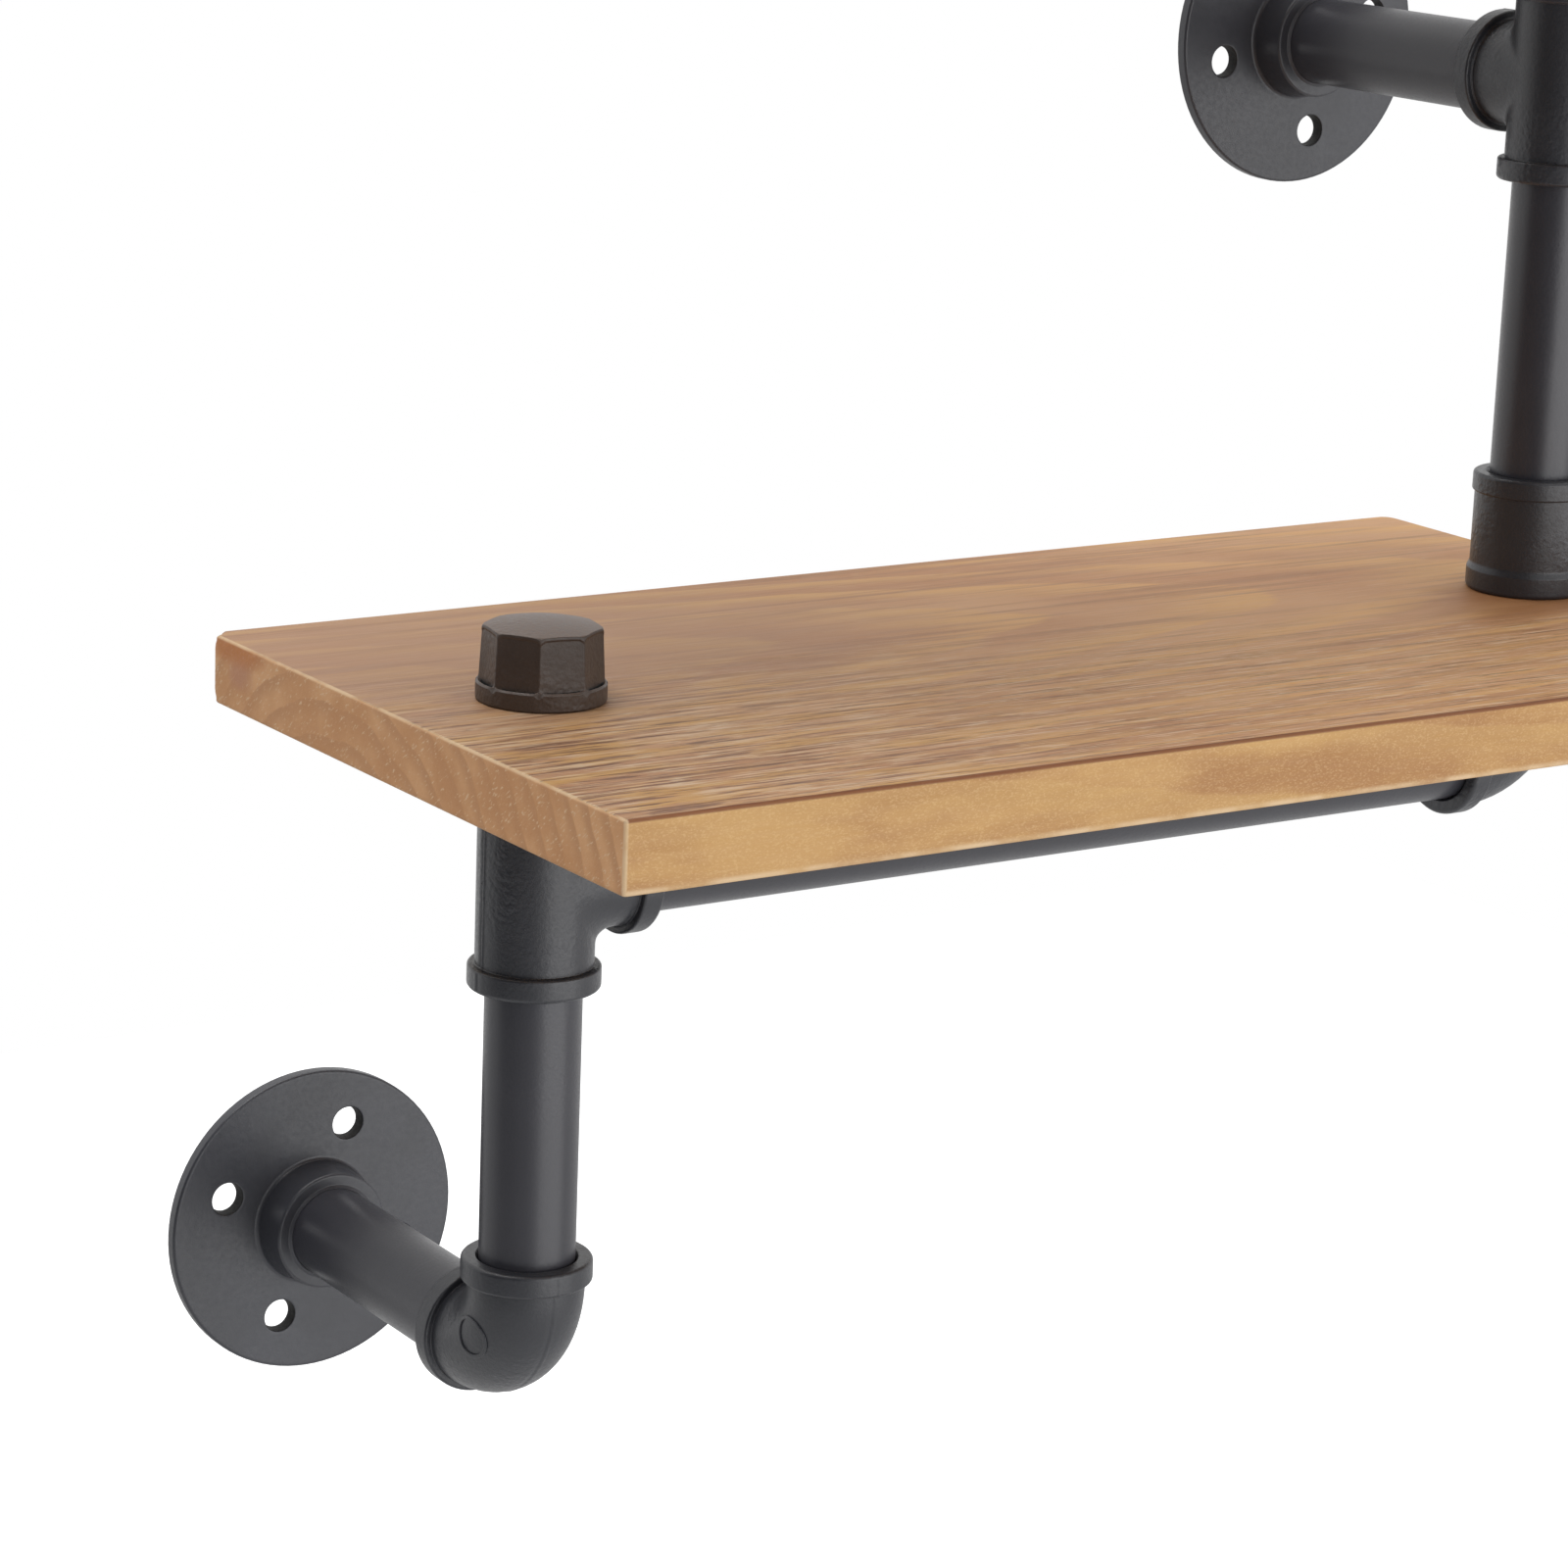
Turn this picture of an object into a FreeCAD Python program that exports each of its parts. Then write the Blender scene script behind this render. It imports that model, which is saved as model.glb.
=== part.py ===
import FreeCAD, Part
import os

# Pipe shelving unit: two wooden boards on one zigzag run of threaded pipe, held to a wall by three
# round flanges.  Lengths are in millimetres and angles in degrees.
# Origin: centre of the bottom flange's back face.  The wall is the plane y = 0 and the unit stands
# out from it towards -Y.  +Z is up and +X runs from the first post line to the second.

# --- Pipe and the way it sits in a fitting -------------------------------------------------------
PIPE_OD = 26.7            # 3/4 inch steel pipe
PIPE_WALL = 2.9
ENGAGEMENT = 13.5         # length of pipe inside every fitting
THREAD_GAP = 0.15         # room round the pipe inside its socket
SEAT_GAP = 0.3            # room between the pipe's end and the floor of its socket

# --- Cast elbows, tees and couplings -------------------------------------------------------------
BODY_WALL = 2.7           # casting wall round a socket
BAND_RISE = 2.0           # how far the band at each mouth stands above the body
BAND_WIDTH = 6.5
BAND_BEVEL = 1.1          # bevel round each mouth
BRANCH_STEP = 0.4         # how much slimmer a tee's branch is than its run, in radius
CROTCH_RADIUS = 4.0       # blend between a tee's run and its branch
COUPLING_GAP = 9.0        # between the ends of the two pipes in a coupling
COUPLING_BAND_RISE = 0.8
COUPLING_BAND_WIDTH = 6.0

# --- Domed octagonal cap -------------------------------------------------------------------------
CAP_SIDES = 8
CAP_WALL = 4.1            # casting wall round the socket, at the band
CAP_CROWN = 8.4           # metal above the socket at the middle of the dome
CAP_DOME_DROP = 3.2       # how much lower the dome is at the body's corners
CAP_BAND_RISE = 0.6       # how far the band stands above the body's corners
CAP_BAND_WIDTH = 5.0
CAP_DRAFT = 0.6           # how far each corner leans in over the body's height
CAP_TURN = 12.3           # where a cap stopped when it was screwed down

# --- Wall flange ---------------------------------------------------------------------------------
FLANGE_OD = 92.0
FLANGE_T = 4.0
FLANGE_BEVEL = 1.0        # bevel of the rim and of the hub's mouth
HUB_WALL = 5.0            # casting wall round the flange's socket
HUB_BACKSET = 2.0         # distance from the wall to the nipple's end
HUB_ROOT = 1.2            # slope where the hub rises from the plate
HUB_DRAFT = 0.9           # how far the hub's side leans in over its height
HOLE_CIRCLE = 61.0
HOLE_D = 9.0
HOLE_COUNT = 4
FLANGE_TURNS = (69.0, 13.0, 38.0)   # where each flange stopped when it was screwed on

# --- Boards --------------------------------------------------------------------------------------
BOARD_T = 19.5
BOARD_DEPTH = 222.0
BOARD_TO_WALL = 22.0      # gap behind a board
TEE_OVERHANG = 44.5       # board beyond the post line that ends in a cap
ELBOW_OVERHANG = 35.5     # board beyond the post line that goes on upwards
BOARD_HOLE_GAP = 0.8      # room round a pipe that goes through a board
BOARD_FRONT_CORNER = 1.0  # rounding of the two upright corners in front
BOARD_BACK_CORNER = 4.0   # rounding of the two at the back
BOARD_BEVEL = 0.8         # bevel of the long edges and the ends

# --- Layout --------------------------------------------------------------------------------------
POST_SPACING = 348.0      # between the two post lines
WALL_REACH = 128.0        # from the wall to the post lines
RISER_CENTRES = 137.0     # from a wall fitting up to the cross pipe above it
BOARD_TO_FITTING = 154.5  # from a board's top up to the next wall fitting
TIERS = ("lower", "upper")
WALL_LEVELS = ("bottom", "middle", "top")

# --- Worked out from the values above ------------------------------------------------------------
PIPE_R = PIPE_OD / 2
PIPE_BORE_R = PIPE_R - PIPE_WALL
SOCKET_R = PIPE_R + THREAD_GAP
SOCKET_DEPTH = ENGAGEMENT + SEAT_GAP
BODY_R = SOCKET_R + BODY_WALL
BAND_R = BODY_R + BAND_RISE
FACE = BODY_R + SOCKET_DEPTH            # from a fitting's centre to each of its mouths
BEND_R = FACE - BAND_WIDTH              # an elbow bends all the way from band to band
COUPLING_LENGTH = 2 * ENGAGEMENT + COUPLING_GAP
CAP_BAND_R = SOCKET_R + CAP_WALL
CAP_CORNER_R = CAP_BAND_R - CAP_BAND_RISE
CAP_HEIGHT = SOCKET_DEPTH + CAP_CROWN
HUB_R = SOCKET_R + HUB_WALL
HUB_HEIGHT = HUB_BACKSET + ENGAGEMENT
BOARD_FRONT = -BOARD_TO_WALL - BOARD_DEPTH
TIER_RISE = RISER_CENTRES + FACE + BOARD_T + BOARD_TO_FITTING

ORIGIN = FreeCAD.Vector(0, 0, 0)
X = FreeCAD.Vector(1, 0, 0)
Y = FreeCAD.Vector(0, 1, 0)
Z = FreeCAD.Vector(0, 0, 1)


# --- Helpers -------------------------------------------------------------------------------------
def placed(shape, position, *turns):
    """A copy of shape after (axis, angle) turns about the origin and a move to position."""
    copy = shape.copy()
    for axis, angle in turns:
        copy.rotate(ORIGIN, axis, angle)
    copy.translate(FreeCAD.Vector(*position))
    return copy


def turned(outline):
    """The solid that a closed outline of (radius, height) corners sweeps round the Z axis."""
    corners = [FreeCAD.Vector(radius, 0, height) for radius, height in outline]
    wire = Part.makePolygon(corners + corners[:1])
    return Part.Face(wire).revolve(ORIGIN, Z, 360)


def tube(length):
    """A length of pipe standing on the origin."""
    return Part.makeCylinder(PIPE_R, length).cut(Part.makeCylinder(PIPE_BORE_R, length))


def socket(mouth):
    """The hollow that a pipe screws into, open at the height mouth and running down from it."""
    return Part.makeCylinder(SOCKET_R, SOCKET_DEPTH, Z * (mouth - SOCKET_DEPTH))


def banded_mouth(mouth, radius, width):
    """The round band at a mouth that faces up, with a bevelled rim."""
    foot = mouth - width
    rim = mouth - BAND_BEVEL
    return turned([(0, foot), (radius, foot), (radius, rim), (radius - BAND_BEVEL, mouth), (0, mouth)])


# --- Fittings ------------------------------------------------------------------------------------
# Elbows and tees are solid between their sockets, where nothing shows and nothing goes.
def elbow():
    """A cast elbow with its corner at the origin and its mouths up +Z and along +X."""
    section = Part.Face(Part.Wire(Part.makeCircle(BODY_R, Z * BEND_R, Z)))
    bend = section.revolve(FreeCAD.Vector(BEND_R, 0, BEND_R), -Y, 90)
    band = banded_mouth(FACE, BAND_R, BAND_WIDTH)
    hollow = socket(FACE)
    to_side = (Y, 90)
    body = bend.fuse([band, placed(band, ORIGIN, to_side)])
    return body.cut([hollow, placed(hollow, ORIGIN, to_side)]).removeSplitter()


def tee():
    """A cast tee with its centre at the origin, its run along Z and its branch along +X.

    A ball of CROTCH_RADIUS rolled along the saddle-shaped line where the branch meets the run
    blends the two barrels, before the bands are put on and the sockets are cut.
    """
    run = Part.makeCylinder(BODY_R, 2 * FACE, Z * -FACE)
    branch = Part.makeCylinder(BODY_R - BRANCH_STEP, FACE, ORIGIN, X)
    body = run.fuse(branch)
    saddle = [edge for edge in body.Edges if isinstance(edge.Curve, Part.BSplineCurve)]
    body = body.makeFillet(CROTCH_RADIUS, saddle)
    band = banded_mouth(FACE, BAND_R, BAND_WIDTH)
    hollow = socket(FACE)
    turns = [(Y, 0), (Y, 180), (Y, 90)]
    body = body.fuse([placed(band, ORIGIN, turn) for turn in turns])
    return body.cut([placed(hollow, ORIGIN, turn) for turn in turns]).removeSplitter()


def coupling():
    """A straight coupling standing on the origin, banded at both ends and bored right through."""
    barrel_r = BAND_R - COUPLING_BAND_RISE
    foot = [
        (SOCKET_R, 0),
        (BAND_R - BAND_BEVEL, 0),
        (BAND_R, BAND_BEVEL),
        (BAND_R, COUPLING_BAND_WIDTH),
        (barrel_r, COUPLING_BAND_WIDTH),
    ]
    head = [(radius, COUPLING_LENGTH - height) for radius, height in reversed(foot)]
    return turned(foot + head)


def cap_outline(corner_r, height):
    """The flat-sided outline of a cap at one height, with a corner on +X."""
    corner = FreeCAD.Vector(corner_r, 0, height)
    corners = []
    for i in range(CAP_SIDES):
        turn = FreeCAD.Rotation(Z, 360 / CAP_SIDES * i)
        corners.append(turn.multVec(corner))
    return Part.makePolygon(corners + corners[:1])


def cap():
    """A cap standing mouth down on the origin: round band, flat leaning sides and a dome."""
    foot = cap_outline(CAP_CORNER_R, 0)
    head = cap_outline(CAP_CORNER_R - CAP_DRAFT, CAP_HEIGHT)
    sides = Part.makeLoft([foot, head], True)
    dome_r = (CAP_CORNER_R ** 2 + CAP_DOME_DROP ** 2) / (2 * CAP_DOME_DROP)
    dome = Part.makeSphere(dome_r, Z * (CAP_HEIGHT - dome_r))
    band = Part.makeCylinder(CAP_BAND_R, CAP_BAND_WIDTH)
    return sides.common(dome).fuse(band).cut(socket(SOCKET_DEPTH)).removeSplitter()


def wall_flange(turn):
    """A flange with its back on z = 0 and its hub up +Z, screwed round by the given angle."""
    rim_r = FLANGE_OD / 2
    body = turned([
        (SOCKET_R, 0),
        (rim_r, 0),
        (rim_r, FLANGE_T - FLANGE_BEVEL),
        (rim_r - FLANGE_BEVEL, FLANGE_T),
        (HUB_R + HUB_ROOT, FLANGE_T),
        (HUB_R, FLANGE_T + HUB_ROOT),
        (HUB_R - HUB_DRAFT, HUB_HEIGHT - FLANGE_BEVEL),
        (HUB_R - HUB_DRAFT - FLANGE_BEVEL, HUB_HEIGHT),
        (SOCKET_R, HUB_HEIGHT),
    ])
    hole = Part.makeCylinder(HOLE_D / 2, FLANGE_T, X * (HOLE_CIRCLE / 2))
    step = 360 / HOLE_COUNT
    return body.cut([placed(hole, ORIGIN, (Z, turn + step * i)) for i in range(HOLE_COUNT)])


# --- Boards --------------------------------------------------------------------------------------
def rounded_uprights(slab, y, radius):
    """A copy of slab with its upright edges at one Y position rounded."""
    upright = []
    for edge in slab.Edges:
        if edge.BoundBox.ZLength > BOARD_T / 2 and abs(edge.CenterOfMass.y - y) < radius / 2:
            upright.append(edge)
    return slab.makeFillet(radius, upright)


def board(left, right, underside):
    """A board between two X positions, with a hole for each post line."""
    corner = FreeCAD.Vector(left, BOARD_FRONT, underside)
    slab = Part.makeBox(right - left, BOARD_DEPTH, BOARD_T, corner)
    slab = rounded_uprights(slab, BOARD_FRONT, BOARD_FRONT_CORNER)
    slab = rounded_uprights(slab, BOARD_FRONT + BOARD_DEPTH, BOARD_BACK_CORNER)
    level = [face for face in slab.Faces if face.BoundBox.ZLength < BOARD_T / 2]
    slab = slab.makeChamfer(BOARD_BEVEL, [edge for face in level for edge in face.Edges])
    hole = Part.makeCylinder(PIPE_R + BOARD_HOLE_GAP, BOARD_T)
    return slab.cut([placed(hole, (x, -WALL_REACH, underside)) for x in (0, POST_SPACING)])


# --- Assembly ------------------------------------------------------------------------------------
def upright_pipe(x, low_mouth, high_mouth):
    """A pipe on a post line, screwed into the mouths at the two heights."""
    length = high_mouth - low_mouth + 2 * ENGAGEMENT
    return placed(tube(length), (x, -WALL_REACH, low_mouth - ENGAGEMENT))


def cross_pipe(z):
    """The level pipe under a board, screwed into the tee and the elbow that carry the board."""
    length = POST_SPACING - 2 * FACE + 2 * ENGAGEMENT
    return placed(tube(length), (FACE - ENGAGEMENT, -WALL_REACH, z), (Y, 90))


def wall_nipple(x, z):
    """The pipe that stands out of a flange and carries the fitting on the post line."""
    length = WALL_REACH - FACE - HUB_HEIGHT + 2 * ENGAGEMENT
    return placed(tube(length), (x, -HUB_BACKSET, z), (X, 90))


def add(pieces, node, *shapes):
    """Puts more solids into a node."""
    pieces.setdefault(node, []).extend(shapes)


def add_tier(pieces, index):
    """One shelf, from the wall fitting below it to the wall fitting above it."""
    name = TIERS[index]
    rightward = index % 2 == 0          # the cross pipe runs to the right, then back to the left
    tee_x = 0 if rightward else POST_SPACING
    elbow_x = POST_SPACING - tee_x
    left = -TEE_OVERHANG if rightward else -ELBOW_OVERHANG
    right = POST_SPACING + (ELBOW_OVERHANG if rightward else TEE_OVERHANG)
    tee_turn = (Z, 0 if rightward else 180)
    elbow_turn = (Z, 180 if rightward else 0)
    wall_z = index * TIER_RISE
    cross_z = wall_z + RISER_CENTRES
    underside = cross_z + FACE
    top = underside + BOARD_T
    add(pieces, name + "_riser_pipe", upright_pipe(tee_x, wall_z + FACE, cross_z - FACE))
    add(pieces, "pipe_tees", placed(tee(), (tee_x, -WALL_REACH, cross_z), tee_turn))
    add(pieces, name + "_cross_pipe", cross_pipe(cross_z))
    add(pieces, "shelf_elbows", placed(elbow(), (elbow_x, -WALL_REACH, cross_z), elbow_turn))
    add(pieces, name + "_cap_nipple", upright_pipe(tee_x, underside, top))
    add(pieces, name + "_coupling_nipple", upright_pipe(elbow_x, underside, top))
    add(pieces, name + "_board", board(left, right, underside))
    add(pieces, "end_caps", placed(cap(), (tee_x, -WALL_REACH, top), (Z, CAP_TURN)))
    add(pieces, "couplings", placed(coupling(), (elbow_x, -WALL_REACH, top)))
    post_foot = top + COUPLING_LENGTH
    add(pieces, name + "_post_pipe", upright_pipe(elbow_x, post_foot, wall_z + TIER_RISE - FACE))


def add_wall_support(pieces, index):
    """A flange on the wall, its nipple and the fitting that the nipple carries."""
    x = 0 if index % 2 == 0 else POST_SPACING
    z = index * TIER_RISE
    at_post = (x, -WALL_REACH, z)
    to_wall = (Z, 90)
    add(pieces, "wall_flanges", placed(wall_flange(FLANGE_TURNS[index]), (x, 0, z), (X, 90)))
    add(pieces, WALL_LEVELS[index] + "_wall_nipple", wall_nipple(x, z))
    if index == 0:
        add(pieces, "wall_elbows", placed(elbow(), at_post, to_wall))
    elif index < len(TIERS):
        add(pieces, "pipe_tees", placed(tee(), at_post, to_wall))
    else:
        add(pieces, "wall_elbows", placed(elbow(), at_post, (X, 180), to_wall))


pieces = {}
for index in range(len(TIERS)):
    add_tier(pieces, index)
for index in range(len(WALL_LEVELS)):
    add_wall_support(pieces, index)

os.makedirs("parts", exist_ok=True)
for node, shapes in pieces.items():
    if not all(shape.isValid() and len(shape.Solids) == 1 for shape in shapes):
        raise ValueError(node + " holds an unsound solid")
    shape = shapes[0] if len(shapes) == 1 else Part.makeCompound(shapes)
    shape.exportStep("parts/" + node + ".step")
    print(node, len(shapes), "solids", round(shape.Volume / 1000, 2), "cm3")
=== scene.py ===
# %% [markdown]
# Pipe shelving unit, dressed for its portrait.
# On the real object, iron pipe and cast fittings are screwed together into one zigzag frame, and
# two stained pine boards sit on it. The look could be painted onto the frame's plain solids, but
# cast iron is all soft edges, so each piece is made again here with the small forms a foundry
# or a lathe leaves.

# %% Load the frame and keep its size
import math

import bmesh
import bpy
import numpy as np
from mathutils import Matrix, Vector, noise


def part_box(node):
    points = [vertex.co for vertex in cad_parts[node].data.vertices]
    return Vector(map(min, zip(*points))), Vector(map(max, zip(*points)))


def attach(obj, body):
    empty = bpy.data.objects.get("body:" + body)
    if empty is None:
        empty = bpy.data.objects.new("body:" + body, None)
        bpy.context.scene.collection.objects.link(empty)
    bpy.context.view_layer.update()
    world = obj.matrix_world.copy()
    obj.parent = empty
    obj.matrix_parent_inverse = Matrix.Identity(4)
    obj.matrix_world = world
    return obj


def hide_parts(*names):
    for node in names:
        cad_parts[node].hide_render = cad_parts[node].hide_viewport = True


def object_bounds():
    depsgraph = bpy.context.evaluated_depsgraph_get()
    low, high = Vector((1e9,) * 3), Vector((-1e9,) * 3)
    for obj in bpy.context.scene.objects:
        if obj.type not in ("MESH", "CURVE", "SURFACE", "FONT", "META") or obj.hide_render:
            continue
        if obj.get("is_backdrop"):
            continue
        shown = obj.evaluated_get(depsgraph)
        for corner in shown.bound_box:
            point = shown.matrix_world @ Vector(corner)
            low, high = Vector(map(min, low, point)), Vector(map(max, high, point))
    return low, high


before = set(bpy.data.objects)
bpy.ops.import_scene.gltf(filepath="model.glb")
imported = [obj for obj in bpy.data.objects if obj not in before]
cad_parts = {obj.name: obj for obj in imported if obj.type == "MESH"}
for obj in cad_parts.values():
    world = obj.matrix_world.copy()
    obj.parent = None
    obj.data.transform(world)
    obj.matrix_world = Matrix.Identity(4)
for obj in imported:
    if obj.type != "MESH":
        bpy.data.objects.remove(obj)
cad_low, cad_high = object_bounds()
MM = 0.001
print("frame box in metres:", [round(v, 4) for v in (*cad_low, *cad_high)])

# %% [markdown]
# The places of the pieces.
# A pipe frame is set out from the centres of its fittings: two post lines, the reach from the
# wall and the heights of the fittings. The centres could be typed in for each piece, but the
# boxes of the frame's own pieces give them, so the dressed pieces follow the frame.

# %% Set out the post lines and the heights, in millimetres
def box_mm(node):
    """Lowest and highest corner of one piece of the frame, in millimetres."""
    low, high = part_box(node)
    return np.array(low) / MM, np.array(high) / MM


def middle_of(node):
    """Centre of the box of one piece of the frame."""
    low, high = box_mm(node)
    return (low + high) / 2


PIPE_R = 13.35
BORE_R = 10.45
SOCKET_R = 13.5
SOCKET_DEPTH = 13.8
BODY_R = 16.2
BAND_R = 18.2
BAND_WIDTH = 6.5
FACE = 30.0
left_x = middle_of("lower_riser_pipe")[0]
right_x = middle_of("lower_post_pipe")[0]
post_y = middle_of("lower_riser_pipe")[1]
wall_z = [middle_of(level + "_wall_nipple")[2] for level in ("bottom", "middle", "top")]
shelf_z = [middle_of(tier + "_cross_pipe")[2] for tier in ("lower", "upper")]
board_top = [box_mm(tier + "_board")[1][2] for tier in ("lower", "upper")]
print("post lines at x", round(left_x, 2), round(right_x, 2), "and y", round(post_y, 2))
print("wall fittings at z", np.round(wall_z, 2), "shelf fittings at z", np.round(shelf_z, 2))

# %% [markdown]
# Turning an outline.
# Pipes, bands, flanges and couplings are all round, and a lathe makes a round thing from half of
# its outline. Blender's Screw modifier does the same, but rows of points keep each corner
# under control: a cast corner is never sharp, so it becomes a short arc.

# %% Round the corners of an outline and turn it
def softened(outline, closed=True, steps=4):
    """The outline's (across, along, rounding) corners, each swapped for an arc of its rounding."""
    corners = [np.array(corner[:2], float) for corner in outline]
    line = []
    for i, corner in enumerate(corners):
        rounding = outline[i][2] if len(outline[i]) > 2 else 0
        if rounding == 0 or (not closed and i in (0, len(corners) - 1)):
            line.append(corner)
            continue
        before = corners[i - 1] - corner
        after = corners[(i + 1) % len(corners)] - corner
        before /= np.linalg.norm(before)
        after /= np.linalg.norm(after)
        half = math.acos(np.clip(before @ after, -1, 1)) / 2
        between = (before + after) / np.linalg.norm(before + after)
        centre = corner + between * rounding / math.sin(half)
        start = corner + before * rounding / math.tan(half) - centre
        end = corner + after * rounding / math.tan(half) - centre
        sweep = math.pi - 2 * half
        for step in range(steps + 1):
            part = step / steps
            arc = math.sin((1 - part) * sweep) * start + math.sin(part * sweep) * end
            line.append(centre + arc / math.sin(sweep))
    return np.array(line)


def woven(rings, closed=False):
    """Points and four-sided faces between each ring of points and the next."""
    rings = np.asarray(rings, float)
    rows, sides = rings.shape[:2]
    faces = []
    for a in range(rows if closed else rows - 1):
        b = (a + 1) % rows
        for c in range(sides):
            d = (c + 1) % sides
            faces.append((a * sides + c, a * sides + d, b * sides + d, b * sides + c))
    return rings.reshape(-1, 3), faces


def ring(angles, radius, height):
    """Points round the Z axis, with one radius and height for all or one for each."""
    return np.column_stack(np.broadcast_arrays(radius * np.cos(angles), radius * np.sin(angles), height))


def all_round(sides):
    """Angles of so many points round a circle."""
    return np.linspace(0, 2 * math.pi, sides, endpoint=False)


def rings_along(line, angles):
    """A ring of points for each (radius, height) of a line."""
    return [ring(angles, radius, height) for radius, height in line]


def turned(line, sides=64):
    """A line of (radius, height) points swept round the Z axis and closed on itself."""
    return woven(rings_along(line, all_round(sides)), closed=True)


print("points in a rounded square:", len(softened([(0, 0, 1), (9, 0, 1), (9, 9, 1), (0, 9, 1)])))

# %% [markdown]
# From points to a piece.
# Every piece is built round the origin in millimetres, then set in its place. Points that meet
# are welded, the faces are turned outwards, and the shading is smooth with the wide faces
# leading, so a flat stays flat up to its rounded corner.

# %% Make a piece from its skins and seat it on the frame
MADE = []
WELD_REACH = 0.002 * MM
SHADING_WEIGHT = 70


def placed(x, y, z, *turns):
    """A place in the frame: turns in degrees about X, Y or Z, done in order, then the move."""
    place = Matrix.Identity(4)
    for axis, angle in turns:
        place = Matrix.Rotation(math.radians(angle), 4, axis) @ place
    return Matrix.Translation(Vector((x, y, z)) * MM) @ place


def weld(mesh):
    """Joins the points of a mesh that meet and turns its faces outwards."""
    welded = bmesh.new()
    welded.from_mesh(mesh)
    bmesh.ops.remove_doubles(welded, verts=welded.verts, dist=WELD_REACH)
    bmesh.ops.recalc_face_normals(welded, faces=welded.faces)
    welded.to_mesh(mesh)
    welded.free()


def add_object(name, data):
    """A new object of the scene, from a mesh, a lamp or a camera."""
    added = bpy.data.objects.new(name, data)
    bpy.context.scene.collection.objects.link(added)
    return added


def make_piece(name, skins, place, finish, node, inside=(), inside_finish=None):
    """One piece that rides on the frame in place of a node; skins inside it take their own finish."""
    points, faces, finishes, count = [], [], [], 0
    for skin_points, skin_faces in list(skins) + list(inside):
        finishes += [int(len(points) >= len(skins))] * len(skin_faces)
        points.append(np.asarray(skin_points) * MM)
        faces += [tuple(i + count for i in face) for face in skin_faces]
        count += len(skin_points)
    mesh = bpy.data.meshes.new(name)
    mesh.from_pydata(np.concatenate(points).tolist(), [], faces)
    mesh.materials.append(finish)
    if inside:
        mesh.materials.append(inside_finish)
    mesh.polygons.foreach_set("material_index", finishes)
    mesh.transform(place)
    weld(mesh)
    mesh.shade_smooth()
    piece = add_object(name, mesh)
    even = piece.modifiers.new("even shading", "WEIGHTED_NORMAL")
    even.weight = SHADING_WEIGHT
    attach(piece, "root")
    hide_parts(node)
    MADE.append(piece)
    return piece


print("points that meet within", WELD_REACH / MM, "mm are welded")

# %% [markdown]
# Writing a finish.
# A finish is a small graph of nodes. Each node could be added and wired in four lines; one
# helper that takes what goes into the node and its settings keeps a finish readable, and a
# node that follows others joins the graph they are in.

# %% Helpers for finishes
def new_finish(name):
    """An empty material with its output, ready for nodes."""
    finish = bpy.data.materials.new(name)
    finish.use_nodes = True
    finish.node_tree.nodes.clear()
    return finish, finish.node_tree


def add_node(tree, kind, sockets=None, **settings):
    """A node with its settings, and each socket either linked or set to a value."""
    made = tree.nodes.new("ShaderNode" + kind)
    for key, value in settings.items():
        setattr(made, key, value)
    for key, value in (sockets or {}).items():
        if isinstance(value, bpy.types.NodeSocket):
            tree.links.new(value, made.inputs[key])
        else:
            made.inputs[key].default_value = value
    return made


def follow(kind, sockets, **settings):
    """A node put in the same graph as what goes into it."""
    tree = next(value.id_data for value in sockets.values() if isinstance(value, bpy.types.NodeSocket))
    return add_node(tree, kind, sockets, **settings)


def sum_up(operation, first, second=0.0, third=0.0):
    """One step of arithmetic in a node."""
    return follow("Math", {0: first, 1: second, 2: third}, operation=operation).outputs[0]


def times(first, second, plus=None):
    """Two values multiplied, with a third one added where it is given."""
    if plus is None:
        return sum_up("MULTIPLY", first, second)
    return sum_up("MULTIPLY_ADD", first, second, plus)


def vector_step(operation, first, second):
    """One step of arithmetic on two vectors."""
    return follow("VectorMath", {0: first, 1: second}, operation=operation).outputs[0]


def parts_of(vector):
    """The X, Y and Z of a vector."""
    return follow("SeparateXYZ", {0: vector}).outputs


def grain(where, scale, stretch=(1, 1, 1), detail=3.0, roughness=0.5, turn=(0, 0, 0)):
    """Noise of a size given in repeats per metre, turned and then stretched along an axis."""
    at = follow("VectorRotate", {"Vector": where, "Rotation": turn}, rotation_type="EULER_XYZ")
    at = vector_step("MULTIPLY", at.outputs[0], stretch)
    sockets = {"Vector": at, "Scale": scale, "Detail": detail, "Roughness": roughness}
    return follow("TexNoise", sockets).outputs[0]


def spread(value, low, high, to_low=0.0, to_high=1.0):
    """The value moved from one range to another, smoothly and no further."""
    sockets = {0: value, 1: low, 2: high, 3: to_low, 4: to_high}
    return follow("MapRange", sockets, interpolation_type="SMOOTHSTEP").outputs[0]


def srgb(red, green, blue):
    """A colour on the 0 to 255 scale, as Blender wants it."""
    def linear(v):
        v /= 255
        return v / 12.92 if v <= 0.04045 else ((v + 0.055) / 1.055) ** 2.4
    return (linear(red), linear(green), linear(blue), 1.0)


def blend(factor, first, second):
    """The second colour laid over the first by a factor."""
    return follow("Mix", {0: factor, 6: first, 7: second}, data_type="RGBA").outputs[2]


def layered(colour, *layers):
    """A colour with layers laid over it in order, each with a factor and a tone from 0 to 255."""
    for factor, tone in layers:
        colour = blend(factor, colour, srgb(*tone))
    return colour


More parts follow.
